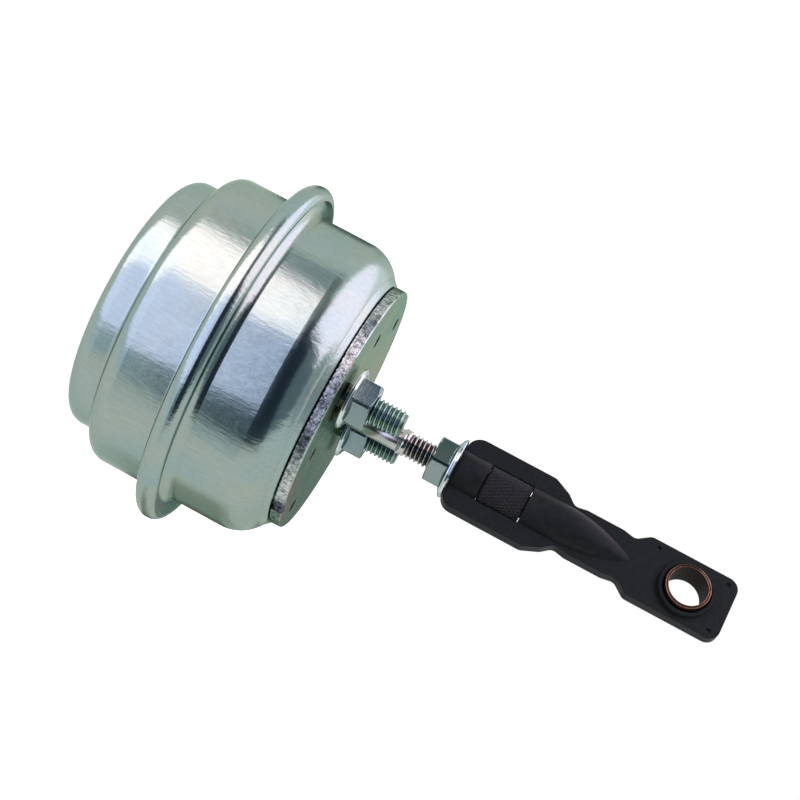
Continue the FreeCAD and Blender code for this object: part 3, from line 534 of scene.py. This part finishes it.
def link_object(name, mesh, body, materials, slot, *replaced):
    """Puts a mesh on a body, with its materials and the nodes that it replaces. slot is not used."""
    for material in materials:
        mesh.materials.append(material)
    item = bpy.data.objects.new(name, mesh)
    bpy.context.scene.collection.objects.link(item)
    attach(item, body)
    if replaced:
        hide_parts(*replaced)


def crisp(mesh, angle=24.0):
    """Smooth shading that stops at edges sharper than the angle."""
    mesh.set_sharp_from_angle(angle=math.radians(angle))
    return mesh


def steps(start, stop, step):
    """Even steps from start to stop, each of about the given size."""
    count = max(1, int(round((stop - start) / step)))
    return [start + (stop - start) * i / count for i in range(count + 1)]


def round_ring(shell, r, height, sides):
    """Ring of points about the part's axis."""
    ring = []
    for k in range(sides):
        angle = TURN * k / sides
        ring.append(shell.verts.new((r * math.cos(angle) * MM, r * math.sin(angle) * MM, height * MM)))
    return ring


def sew(shell, rings, smooth):
    """Faces between neighbouring rings, as (number of the first ring, face) pairs."""
    faces = []
    for row, (a, b) in enumerate(zip(rings, rings[1:])):
        for k in range(len(a)):
            after = (k + 1) % len(a)
            face = shell.faces.new((a[k], a[after], b[after], b[k]))
            face.smooth = smooth
            faces.append((row, face))
    return faces


def to_mesh(name, shell):
    """Mesh of a bmesh skin, which is freed."""
    mesh = bpy.data.meshes.new(name)
    shell.to_mesh(mesh)
    shell.free()
    return mesh


def join(shells):
    """One mesh from several bmesh skins."""
    joined = bmesh.new()
    for shell in shells:
        scratch = to_mesh("scratch", shell)
        joined.from_mesh(scratch)
        bpy.data.meshes.remove(scratch)
    return to_mesh("joined", joined)


THREAD_SIDES = 56
THREAD_DEPTH = 0.56
THREAD_FLAT = 0.14
THREAD_STEP = 0.125
TAPER_SLOPE = 0.85


def turned(rows, radius_at, centre, roots):
    """Closed skin of rows of heights. radius_at(angle, height, row) gives the radius.

    roots is (shallow radius, deep radius, start of the thread): each point past the start
    carries a value "root" that goes from 0 to 1 between the two radii."""
    shallow, deep, start = roots
    shell = bmesh.new()
    depth = shell.verts.layers.float.new("root")
    rings = []
    for number, height in enumerate(rows):
        ring = []
        for k in range(THREAD_SIDES):
            angle = TURN * k / THREAD_SIDES
            r = radius_at(angle, height, number)
            point = shell.verts.new((
                (centre[0] + r * math.cos(angle)) * MM,
                (centre[1] + r * math.sin(angle)) * MM,
                height * MM))
            if height > start:
                # The value root masks the painted shade in the thread's roots.
                point[depth] = min(1.0, max(0.0, (shallow - r) / (shallow - deep)))
            ring.append(point)
        rings.append(ring)
    sew(shell, rings, smooth=True)
    shell.faces.new(list(reversed(rings[0])))
    shell.faces.new(rings[-1])
    return shell


def thread_radius(angle, height, crest):
    """Radius of a thread of 1 mm pitch."""
    from_root = abs(((height - angle / TURN) % 1.0) - 0.5) * 2
    cut = 1.0 - min(1.0, max(0.0, (from_root - THREAD_FLAT) / (1.0 - 2 * THREAD_FLAT)))
    return crest - THREAD_DEPTH * cut


STUD_ANGLE = math.radians(16.0)
STUD_CIRCLE = 13.0
STUD_HEAD = 4.0
STUD_HEAD_THICK = 2.0
STUD_HEAD_EDGE = 0.25
STUD_SHANK = 2.7
STUD_SHANK_END = 0.95
STUD_THREAD_START = 1.1
STUD_CREST = 2.98
STUD_TAPER = 0.75
STUD_ROOTS = (2.9, 2.5, 1.0)


def stud_places():
    """Places of the two studs across the part's axis."""
    for sign in (-1, 1):
        yield -sign * STUD_CIRCLE * math.sin(STUD_ANGLE), sign * STUD_CIRCLE * math.cos(STUD_ANGLE)


def build_studs():
    """Two studs with their heads and threads."""
    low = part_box("mounting_studs")[0].z / MM
    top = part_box("mounting_studs")[1].z / MM
    head = low + STUD_HEAD_THICK
    rows = [low, low + STUD_HEAD_EDGE, head - STUD_HEAD_EDGE, head, head + 0.01, STUD_SHANK_END]
    rows += steps(STUD_THREAD_START, top, THREAD_STEP)

    def radius(angle, height, row):
        if height <= head:
            return STUD_HEAD - (STUD_HEAD_EDGE if row in (0, 3) else 0.0)
        if height <= STUD_SHANK_END:
            return STUD_SHANK
        r = thread_radius(angle, height, STUD_CREST)
        return min(r, STUD_CREST - max(0.0, height - (top - STUD_TAPER)) * TAPER_SLOPE)

    shells = [turned(rows, radius, place, STUD_ROOTS) for place in stud_places()]
    link_object("stud_threads", join(shells), "can", [stud_zinc], "zinc_plated_fastener",
                "mounting_studs")


# Height above the rod's low end, and radius, of its riveted end.
RIVET = [(0.0, 3.0), (0.15, 3.6), (0.5, 4.0), (1.1, 4.2), (2.2, 4.2)]
ROD_NECK = 2.0
# Height and radius from the end of the neck to the start of the thread.
ROD_PROFILE = [(-9.35, ROD_NECK), (-9.34, 2.55), (13.3, 2.55), (13.5, 2.55), (13.51, 2.6),
               (13.65, 2.9), (15.2, 2.9), (15.35, 2.75), (15.4, 2.5)]
ROD_THREAD_START = 15.5
ROD_THREAD_FIRST = 2.35
ROD_CREST = 2.85
ROD_THREAD_LIMIT = 2.9
ROD_TAPER = 0.7
ROD_ROOTS = (2.8, 2.4, 15.4)


def build_rod():
    """Rod with its riveted end, neck, plain part, collar and thread."""
    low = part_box("actuator_rod")[0].z / MM
    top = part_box("actuator_rod")[1].z / MM
    profile = [(low + height, r) for height, r in RIVET]
    profile += [(profile[-1][0] + 0.01, ROD_NECK)] + ROD_PROFILE
    rows = [height for height, _ in profile] + steps(ROD_THREAD_START, top, THREAD_STEP)

    def radius(angle, height, row):
        if row < len(profile):
            return profile[row][1]
        r = thread_radius(angle, height, ROD_CREST)
        r = min(r, ROD_THREAD_FIRST + height - ROD_THREAD_START)
        return min(r, ROD_THREAD_LIMIT - max(0.0, height - (top - ROD_TAPER)) * TAPER_SLOPE)

    shell = turned(rows, radius, (0.0, 0.0), ROD_ROOTS)
    link_object("rod_with_thread", to_mesh("rod", shell), "rod", [rod_steel], "bright_steel",
                "actuator_rod")


SLEEVE_RADIUS = 4.55
SLEEVE_EDGE = 0.4
SLEEVE_END = 0.08
SLEEVE_BORE = 3.05
SLEEVE_STEP = 0.11
KNURL_STARTS = 32
KNURL_SIDES = KNURL_STARTS * 6
KNURL_SLOPE = math.tan(math.radians(30.0))
# Depth and sharpness of the knurl's two families of grooves.
KNURL_FIRST = (0.3, 1.5)
KNURL_SECOND = (0.14, 2.6)


def groove(angle, depth, sharpness):
    """Depth of one family of grooves of the knurl."""
    away = abs((angle * KNURL_STARTS / TURN) % 1.0 - 0.5) * 2
    return depth * max(0.0, 1.0 - away * sharpness)


def build_sleeve():
    """Knurled sleeve with chamfered ends and a plain round bore."""
    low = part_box("adjuster_sleeve")[0].z / MM
    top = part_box("adjuster_sleeve")[1].z / MM
    rows = [low, low + SLEEVE_END, low + SLEEVE_EDGE]
    rows += steps(low + SLEEVE_EDGE + 0.1, top - SLEEVE_EDGE - 0.1, SLEEVE_STEP)
    rows += [top - SLEEVE_EDGE, top - SLEEVE_END, top]
    shell = bmesh.new()
    rings = []
    for height in rows:
        taper = min(SLEEVE_EDGE, height - low, top - height)
        turn = KNURL_SLOPE * (height - low) / SLEEVE_RADIUS
        ring = []
        for k in range(KNURL_SIDES):
            angle = TURN * k / KNURL_SIDES
            r = SLEEVE_RADIUS - SLEEVE_EDGE + taper
            if taper >= SLEEVE_EDGE:
                r = SLEEVE_RADIUS - max(groove(angle + turn, *KNURL_FIRST),
                                        groove(angle - turn, *KNURL_SECOND))
            ring.append(shell.verts.new((r * math.cos(angle) * MM, r * math.sin(angle) * MM, height * MM)))
        rings.append(ring)
    rings += [round_ring(shell, SLEEVE_BORE, height, KNURL_SIDES) for height in (top, low)]
    sew(shell, rings + rings[:1], smooth=False)
    bmesh.ops.recalc_face_normals(shell, faces=shell.faces)
    link_object("knurled_sleeve", to_mesh("sleeve", shell), "sleeve", [sleeve_black],
                "black_coated_steel", "adjuster_sleeve")


NUT_FLATS = 10.0
NUT_CORNER_CUT = 0.12
NUT_TURN = math.radians(-90.0 + 28.0)
STUD_NUT_BORE = 2.75
LOCK_NUT_BORE = 3.05
UNBOUND = 9.0
# Degrees from one corner to the next, closer together at the corners.
CORNER_STEPS = (0.0, 0.8, 1.8, 4.0, 8.0, 13.0, 18.0, 24.0, 30.0, 36.0, 42.0, 47.0, 52.0, 56.0,
                58.2, 59.2)
# Height and radius of the flange's edge, from the seat up.
FLANGE_EDGE = [(0.0, 6.55), (0.12, 6.78), (0.3, 6.85), (0.62, 6.83), (0.74, 6.7), (0.8, 6.48),
               (0.98, 6.42), (1.06, 6.2)]
# The cone above the flange, from its start to its end.
CONE_START = 1.1
CONE_END = 1.7
CONE_STEP = 0.05
CONE_RADIUS = 6.0
CONE_SLOPE = 1.9
# The flats between the cone and the chamfer.
FLATS_START = 2.0
FLATS_END = 4.2
FLATS_STEP = 0.3
# The chamfer that rounds the corners off at the top.
CHAMFER_RADIUS = 6.0
CHAMFER_WIDTH = 1.1
CHAMFER_TOP = 4.9
CHAMFER_SLOPE = 0.63
CHAMFER_ROWS = 10
NUT_HEIGHT = 5.4
# Height and greatest radius of the nut's top and bore.
NUT_TOP = [(NUT_HEIGHT, 4.6), (NUT_HEIGHT, 3.3), (5.1, 2.95), (4.9, 2.7), (0.1, 2.7)]


def nut_angles():
    """Angles all round a nut."""
    for corner in range(6):
        for away in CORNER_STEPS:
            yield math.radians(60.0 * corner + away)


def hexagon(angle):
    """Radius of a hexagon with slightly blunt corners. Its first corner is at angle 0."""
    away = (angle + math.pi / 6) % (math.pi / 3) - math.pi / 6
    sharp = NUT_FLATS / 2 / math.cos(math.pi / 6 - abs(away))
    return min(sharp, NUT_FLATS / math.sqrt(3.0) - NUT_CORNER_CUT)


def nut_rows():
    """Rows of a flange nut from its seat up: height, least radius, greatest radius."""
    rows = [(height, r, r) for height, r in FLANGE_EDGE]
    for height in steps(CONE_START, CONE_END, CONE_STEP):
        rows.append((height, CONE_RADIUS - (height - CONE_START) * CONE_SLOPE, UNBOUND))
    for height in steps(FLATS_START, FLATS_END, FLATS_STEP):
        rows.append((height, 0.0, UNBOUND))
    for i in range(CHAMFER_ROWS + 1):
        limit = CHAMFER_RADIUS - CHAMFER_WIDTH * i / CHAMFER_ROWS
        rows.append((NUT_HEIGHT - (limit - CHAMFER_TOP) * CHAMFER_SLOPE, 0.0, limit))
    return rows + [(height, 0.0, r) for height, r in NUT_TOP]


def nut_shell(place, seat, way, bore):
    """Flange nut: its place, the height of its seat and the way it stands, +1 or -1 along Z."""
    shell = bmesh.new()
    rings = []
    for height, least, most in nut_rows():
        ring = []
        for angle in nut_angles():
            r = most if least == most else max(min(hexagon(angle), most), least, bore)
            a = angle * way + NUT_TURN
            ring.append(shell.verts.new((
                (place[0] + r * math.cos(a)) * MM,
                (place[1] + r * math.sin(a)) * MM,
                (seat + way * height) * MM)))
        rings.append(ring)
    # The flange's rows get the brighter copy of the zinc, a painted highlight; the rest get the nut's
    # zinc.
    for row, face in sew(shell, rings + rings[:1], smooth=True):
        face.material_index = 1 if row < len(FLANGE_EDGE) else 0
    bmesh.ops.recalc_face_normals(shell, faces=shell.faces)
    return shell


def build_nuts():
    """The two stud nuts and the rod's lock nut."""
    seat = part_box("stud_flange_nuts")[0].z / MM
    shells = [nut_shell(place, seat, 1, STUD_NUT_BORE) for place in stud_places()]
    link_object("flange_nuts", crisp(join(shells)), "can", [nut_zinc, flange_highlight_zinc],
                "zinc_plated_fastener", "stud_flange_nuts")
    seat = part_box("rod_lock_nut")[1].z / MM
    shell = nut_shell((0.0, 0.0), seat, -1, LOCK_NUT_BORE)
    link_object("lock_nut", crisp(join([shell])), "lock_nut", [nut_zinc, flange_highlight_zinc],
                "zinc_plated_fastener", "rod_lock_nut")


BAND_SIDES = 160
# Radius and height of the ring's section.
BAND = [(29.9, -4.0), (29.4, -3.5), (28.95, -3.05), (28.7, -2.8), (28.5, -2.7), (28.3, -2.72),
        (26.0, -2.76)]


def build_band():
    """Edge of the front cup's flat face, which closes the wedge behind the mounting plate."""
    shell = bmesh.new()
    rings = [round_ring(shell, r, height, BAND_SIDES) for r, height in BAND]
    sew(shell, rings + rings[:1], smooth=True)
    bmesh.ops.recalc_face_normals(shell, faces=shell.faces)
    link_object("front_cup_edge", crisp(to_mesh("band", shell), 50.0), "can", [can_zinc],
                "zinc_plated_steel")


BUSH_SIDES = 96
# Radius, depth below the end and material (0 near-black bore, 1 bronze, 2 groove) of the bush's end.
BUSH_END = [
    (4.3, 0.45, 0), (4.3, 0.16, 0), (4.33, 0.05, 1), (4.4, 0.0, 1), (4.47, 0.02, 1), (4.52, 0.1, 2),
    (4.58, 0.2, 2), (4.7, 0.2, 2), (4.76, 0.1, 2), (4.81, 0.03, 1), (4.89, 0.0, 1), (4.96, 0.06, 1),
    (5.0, 0.2, 1), (5.0, 0.6, 2)]


def build_bush():
    """Eye bush: near-black bore, and two thin rims with a groove between them at each end."""
    low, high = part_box("eye_bush")
    centre = (low.z + high.z) / 2 / MM
    half = (high.y - low.y) / 2 / MM
    profile = [(r, half - inset, kind) for r, inset, kind in BUSH_END]
    profile += [(r, inset - half, kind) for r, inset, kind in reversed(BUSH_END)]
    shell = bmesh.new()
    rings = []
    for r, y, _ in profile:
        rings.append([shell.verts.new((
            r * math.cos(TURN * k / BUSH_SIDES) * MM, y * MM,
            (centre + r * math.sin(TURN * k / BUSH_SIDES)) * MM)) for k in range(BUSH_SIDES)])
    kinds = [min(a[2], b[2]) for a, b in zip(profile, profile[1:])] + [0]
    for row, face in sew(shell, rings + rings[:1], smooth=True):
        face.material_index = kinds[row]
    bmesh.ops.recalc_face_normals(shell, faces=shell.faces)
    link_object("lined_bush", crisp(to_mesh("bush", shell), 40.0), "link",
                [bush_dark_bore, bush_bronze, bush_groove], "bronze", "eye_bush")


build_studs()
build_rod()
build_sleeve()
build_nuts()
build_band()
build_bush()
soften("link_plate_front", 0.2)
soften("link_plate_rear", 0.2)


# Finish

low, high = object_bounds()
